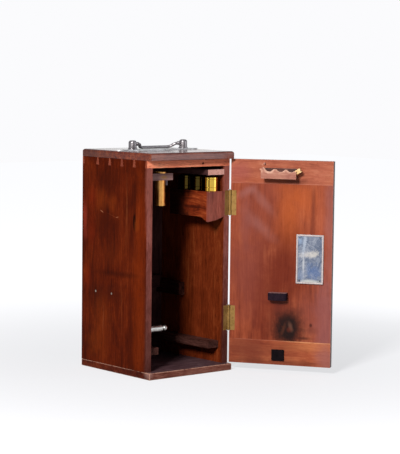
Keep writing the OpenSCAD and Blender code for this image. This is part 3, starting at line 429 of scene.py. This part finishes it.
# What the door's boards share: outer face and hinge edge in other tones, arrises a little rubbed
DOOR_FACES = [(DOOR_OUT, OUTSIDE), (DOOR_EDGE, DOOR_SIDE)]
INNER_DOOR = {"on_door": True, "specular": 0.12, "faces": DOOR_FACES, "worn": "b87868", "wear": 0.3}
finishes = {
    # French polished mahogany, darkened by age: low sheen, red brown, scratched
    "left_side": wood("french_polished_mahogany_left", OUTSIDE, "Z", 3, specular=0.01, figure=0.7,
                      marks=LEFT_MARKS, faces=[(FRONT, EDGE_WOOD_AND_SHEEN), (RIGHT, STAINED)], stains=FRONT_EDGE_DARK_LOW_PALE_HIGH),
    "right_side": wood("french_polished_mahogany_right", OUTSIDE, "Z", 61, specular=0.01,
                       faces=[(FRONT, EDGE_WOOD_AND_SHEEN), (LEFT, INSIDE)], stains=FRONT_EDGE_DARK_LOW_PALE_HIGH),
    "carcass_top": wood("dovetailed_mahogany_top", OUTSIDE, "X", 17, roughness=0.42, specular=0.1,
                        faces=[(FRONT, HEAD_RAIL), (DOWN, STAINED), (LEFT, END_GRAIN), (RIGHT, END_GRAIN)]),
    "back_panel": wood("stained_mahogany_back", OUTSIDE, "Z", 29, roughness=0.5, specular=0.02,
                       faces=[(FRONT, STAINED)]),
    "base_board": wood("polished_mahogany_base", BASE, "X", 41, specular=0.02,
                       faces=[(FRONT, BASE_FRONT), (UP, DUST_AND_SHEEN)], stains=BASE_STAINS,
                       box=mm_box("base_board"), worn="c89a84", wear=0.9),
    # The lid keeps a hard clear coat, which mirrors the pale room
    "lid_board": wood("polished_mahogany_lid", LID, "X", 53, roughness=0.2, specular=0.1, coat=0.55,
                      faces=[(FRONT, LID_FRONT), (LEFT, LID_LEFT)], stains=LID_DARKER_BACK),
    # Warm mahogany of the door's inner side, oiled and a little glossy
    "door_panel": wood("oiled_mahogany_panel", ORANGE, "Z", 71, marks=PANEL_MARKS, pores=0.3,
                       box=mm_box("door_panel", True), **INNER_DOOR),
    "door_top_cleat": wood("oiled_mahogany_upper_cleat", RAIL, "X", 83, marks=TOP_CLEAT_MARKS,
                           box=mm_box("door_top_cleat", True), **INNER_DOOR),
    "door_bottom_cleat": wood("oiled_mahogany_lower_cleat", LOWER_RAIL, "X", 97, marks=BOTTOM_CLEAT_MARKS,
                              box=mm_box("door_bottom_cleat", True), **INNER_DOOR),
    # Bare wood of the racks, pink with age, and pale where it is cut or broken
    "rack_strip": wood("bare_rack_wood", RACK, "X", 11, True, 0.55, stains=SCALLOP_RIMS),
    # The shelf is painted dark as painted shade in the hollows behind the scallops, and its upper faces paler
    # as painted light
    "rack_shelf": wood("rack_shelf_wood_painted_shade",
                       [(0.30, "2a1512"), (0.44, "40221c"), (0.58, "54302a"), (0.76, "704840")],
                       "X", 23, True, 0.6, faces=[(UP, [(0.3, "7c6660"), (0.7, "a8928a")])]),
    "rack_broken_ear": wood("freshly_broken_wood",
                            [(0.30, "b88850"), (0.44, "dcb478"), (0.58, "ecce98"), (0.76, "f4e2ba")],
                            "X", 31, True, 0.7, pores=0.3),
    "catch_pin": wood("dowel_end", PALE, "Y", 5, True, 0.5),
    "retaining_slab": wood("bare_slab_wood", STAINED, "Y", 13, roughness=0.5, faces=[(FRONT, SLAB_FRONT)]),
    # Planed boards of the tray, front and side with a strong figure
    "tray_front": wood("planed_tray_front", TRAY_FRONT, "Z", 19, figure=1.6, specular=0.2),
    "tray_side": wood("planed_tray_side", TRAY_SIDE, "Y", 37, figure=1.3, specular=0.1,
                      stains=TRAY_SIDE_PAINTED_SHADOW),
    "tray_end": wood("tray_end_wood", STAINED, "X", 47),
    "tray_floor": wood("tray_floor_wood", STAINED, "Y", 59),
    "tube_bracket": wood("bare_bracket_wood",
                         [(0.30, "6c4c48"), (0.44, "88625e"), (0.58, "9c746e"), (0.76, "b08a7e")],
                         "X", 43, roughness=0.55, specular=0.2,
                         marks=[((-33, -56, 298), (6, 0, 2.4), 0, 0.7, "a8783c", 0.7)]),
    "bracket_peg": wood("peg_wood", [(0.3, "4a4050"), (0.7, "7a6c78")], "Z", 67),
    # Dark bare strips inside, with hardly any sheen
    "mid_ledges": wood("ledge_wood", [(0.30, "1c0c0a"), (0.44, "2e1814"), (0.58, "44241e"), (0.76, "5c382e")],
                       "Y", 73, specular=0.02),
    "back_batten": wood("batten_wood", STAINED, "X", 79, specular=0.02),
    "foot_rails": wood("rail_wood", [(0.30, "241210"), (0.44, "3a211c"), (0.58, "50302a"), (0.76, "684640")],
                       "Y", 89, specular=0.02),
    # Dyed leather and felt: nearly black, with painted light making the faces that look up paler, most of all
    # on the leather
    "stop_block": hide("dyed_leather", [(0.3, "171019"), (0.7, "2c1d26")], "8a6664"),
    "square_pad": hide("dyed_felt", [(0.3, "0c080a"), (0.7, "181014")], "241a1e"),
    # Thin sheet metal of the door's panel: cool and mottled against the warm wood
    "label_face": tinned_sheet("blued_tin_sheet", SHEET_MARKS),
    "label_frame": metal("stamped_tin_rim", [(0.3, "a89c9a"), (0.7, "cfc6c4")], 0.5, "80706c", 0.4, 6),
    # Plate and tube: plating gone matt, and lacquer that has kept its gold
    "handle_plate": metal("tarnished_nickel_plate", [(0.3, "c0c0c0"), (0.7, "d8d8d8")], 0.38, "8c8884", 0.5),
    "hanging_tube": metal("lacquered_brass_tube", [(0.3, "cc8c48"), (0.7, "e8b468")], 0.3, "a0642c", 0.3),
}
# Small fittings: nickel and polished brass that mirror the room, and iron, brass and steel gone dull
nickel = metal("polished_nickel", [(0.3, "7e787a"), (0.7, "a6a0a2")], 0.24, "5c5654", 0.5, 6)
bright_nickel = metal("bright_nickel", [(0.3, "9a9894"), (0.7, "c6c4c0")], 0.25, "6a655c", 0.5, 6)
grey_iron = metal("grey_iron", [(0.3, "80766c"), (0.7, "aa9e90")], 0.45, "4c4440", 0.3, 4)
brass = metal("polished_brass", [(0.3, "d6a63a"), (0.7, "eccb62")], 0.07, "a87c28", 0.2, 20, CAN_PAINTED_SHADE_AND_MARKS)
dull_brass = metal("dull_brass", [(0.3, "7c5e30"), (0.7, "a2814e")], 0.42, "5c4426", 0.5)
steel = metal("dark_steel", [(0.3, "3e3a38"), (0.7, "6a6561")], 0.35, "2c2724", 0.5)
for shared, names in (
    (nickel, ("handle_screws", "handle_posts", "handle_bail")),
    (bright_nickel, ("clamp_barrel", "clamp_screw")),
    (grey_iron, ("ledge_nails",)),
    (brass, ("can_bodies", "can_lids")),
    (dull_brass, ("base_screws", "hinge_case_leaves", "hinge_door_leaves", "hinge_pins", "hinge_case_screws",
                  "hinge_door_screws", "lock_case", "lock_plug", "escutcheon", "keep_plate")),
    (steel, ("lock_bolt", "key", "label_nails")),
):
    for name in names:
        finishes[name] = shared
for name, node in nodes.items():
    node.data.materials.clear()
    node.data.materials.append(finishes[name])

# Corners closer than this are one, in millimetres
WELD_GAP = 0.01
# Edges sharper than this are rounded
SHARP = math.radians(40)
# Arrises worn round, in millimetres
ARRIS = {
    "left_side": 0.4, "right_side": 0.4, "carcass_top": 0.2, "base_board": 0.3, "door_panel": 0.2,
    "door_top_cleat": 0.4, "door_bottom_cleat": 0.4, "rack_strip": 0.4, "rack_shelf": 0.3,
    "rack_broken_ear": 0.3, "stop_block": 1.0, "square_pad": 0.6, "retaining_slab": 0.5,
    "tray_front": 0.4, "tray_side": 0.4, "tube_bracket": 0.5, "mid_ledges": 0.5, "foot_rails": 0.5,
    "back_batten": 0.5, "label_frame": 0.3,
}
for name, width in ARRIS.items():
    node = nodes[name]
    node.modifiers.new("weld", "WELD").merge_threshold = WELD_GAP / MM
    bevel = node.modifiers.new("arris", "BEVEL")
    bevel.width = width / MM
    bevel.segments = 2
    bevel.limit_method = "ANGLE"
    bevel.angle_limit = SHARP
    node.modifiers.new("shading", "WEIGHTED_NORMAL").keep_sharp = True


# Studio: a white table in a white room, a screen for the polish to mirror, and three soft lamps


def sheet(name, centre, across, up, material):
    """A flat stage piece from its centre and two half axes"""
    mesh = bpy.data.meshes.new(name)
    c, a, u = Vector(centre), Vector(across), Vector(up)
    mesh.from_pydata([c - a - u, c + a - u, c + a + u, c - a + u], [], [(0, 1, 2, 3)])
    mesh.materials.append(material)
    thing = bpy.data.objects.new(name, mesh)
    bpy.context.scene.collection.objects.link(thing)
    return thing


# The table's glow: metres from the case over which it grows, its strengths there, and the share of it
# that lights the case
GLOW_REACH, GLOW_STRENGTHS, GLOW_CAST = (0.15, 1.1), (0.68, 0.965), 0.3
# Strength of the white room as light, and as it is mirrored
ROOM_LIGHT, ROOM_MIRRORED = 0.11, 0.45

# White acrylic table: keeps faint shadows near the case, and runs out to white further off
table, tree = new_material("white_acrylic_table")
reach = add(tree, "VectorMath", {"operation": "LENGTH"}, [add(tree, "TexCoord", {}, [], "Object")], 1)
glow = add(tree, "MapRange", SMOOTH, [reach, *GLOW_REACH, *GLOW_STRENGTHS])
seen = add(tree, "Math", {"operation": "MAXIMUM"}, [
    add(tree, "LightPath", {}, [], "Is Camera Ray"), add(tree, "LightPath", {}, [], "Is Glossy Ray")])
glow = add(tree, "Math", TIMES, [glow, add(tree, "MapRange", {}, [seen, 0.0, 1.0, GLOW_CAST, 1.0])])
matte = add(tree, "BsdfDiffuse", {}, {"Color": (0.28, 0.28, 0.29, 1)})
light = add(tree, "Emission", {}, {"Color": (0.975, 0.98, 1.0, 1), "Strength": glow})
add(tree, "OutputMaterial", {}, [add(tree, "AddShader", {}, [matte, light])])
sheet("table_top", (0, 0, 0), (5, 0, 0), (0, 5, 0), table)

# White screen behind the case on its right, seen only in what mirrors it
screen, tree = new_material("white_screen")
add(tree, "OutputMaterial", {}, [add(tree, "Emission", {}, {"Color": (1, 1, 1, 1), "Strength": 1.0})])
backdrop = sheet("backdrop", (1.3, 1.55, 0.9), (1.15, -0.96, 0), (0, 0, 0.9), screen)
backdrop.visible_camera = False
backdrop.visible_diffuse = False
backdrop.visible_shadow = False

world = bpy.data.worlds.new("studio")
bpy.context.scene.world = world
world.use_nodes = True
tree = world.node_tree
tree.nodes.clear()
room = add(tree, "Background", {}, [(0.88, 0.92, 1.0, 1), ROOM_LIGHT])
mirrored = add(tree, "Background", {}, [(0.9, 0.93, 1.0, 1), ROOM_MIRRORED])
seen = add(tree, "Background", {}, [linear("fbfbfd"), 1.0])
shine = add(tree, "MixShader", {}, [add(tree, "LightPath", {}, [], "Is Glossy Ray"), room, mirrored])
shown = add(tree, "MixShader", {}, [add(tree, "LightPath", {}, [], "Is Camera Ray"), shine, seen])
add(tree, "OutputWorld", {}, [shown])


def lamp(name, where, target, size, power, tint):
    """A soft box turned towards its target: places and size in metres, power in watts"""
    data = bpy.data.lights.new(name, "AREA")
    data.shape = "RECTANGLE"
    data.size, data.size_y = size
    data.energy = power
    data.color = tint
    thing = bpy.data.objects.new(name, data)
    thing.location = where
    thing.rotation_mode = "QUATERNION"
    thing.rotation_quaternion = (Vector(target) - Vector(where)).to_track_quat("-Z", "Y")
    bpy.context.scene.collection.objects.link(thing)


# A bright lamp from the left, a wide weak one in front on the right, a faint one overhead
lamp("key_left", (-1.97, -1.2, 1.38), (0.02, -0.05, 0.16), (0.5, 0.5), 75, (1.0, 0.985, 0.965))
lamp("front_panel", (1.6, -2.0, 0.6), (0, -0.1, 0.15), (1.2, 1.2), 9, (0.93, 0.96, 1.0))
lamp("overhead", (0.1, -0.1, 2.2), (0, 0, 0), (2.0, 2.0), 4, (1, 1, 1))

# Camera at the photo's place, worked out from the case's corners
AZIMUTH, ELEVATION, ROLL = math.radians(39.945), math.radians(5.145), math.radians(0.675)
CAMERA_AT = (-1.6550, -2.0765, 0.4575)
# Focal length and the photo's height in pixels, width of the sensor in millimetres, and sideways shift
FOCAL_PIXELS, FRAME_HIGH, SENSOR_WIDE, SHIFT = 1739.46, 454, 36, 0.0013
flat = math.cos(ELEVATION)
backwards = Vector((-math.sin(AZIMUTH) * flat, -math.cos(AZIMUTH) * flat, math.sin(ELEVATION)))
right = (-backwards).cross(Vector((0, 0, 1))).normalized()
up = right.cross(-backwards)
right, up = right * math.cos(ROLL) + up * math.sin(ROLL), up * math.cos(ROLL) - right * math.sin(ROLL)
camera_data = bpy.data.cameras.new("camera")
camera_data.sensor_width = SENSOR_WIDE
camera_data.lens = FOCAL_PIXELS / FRAME_HIGH * SENSOR_WIDE
camera_data.shift_x = SHIFT
camera_data.clip_start, camera_data.clip_end = 0.05, 30
camera = bpy.data.objects.new("camera", camera_data)
turn = Matrix((right, up, backwards)).transposed().to_4x4()
camera.matrix_world = Matrix.Translation(CAMERA_AT) @ turn
bpy.context.scene.collection.objects.link(camera)
bpy.context.scene.camera = camera

bpy.context.scene.view_settings.view_transform = "Standard"
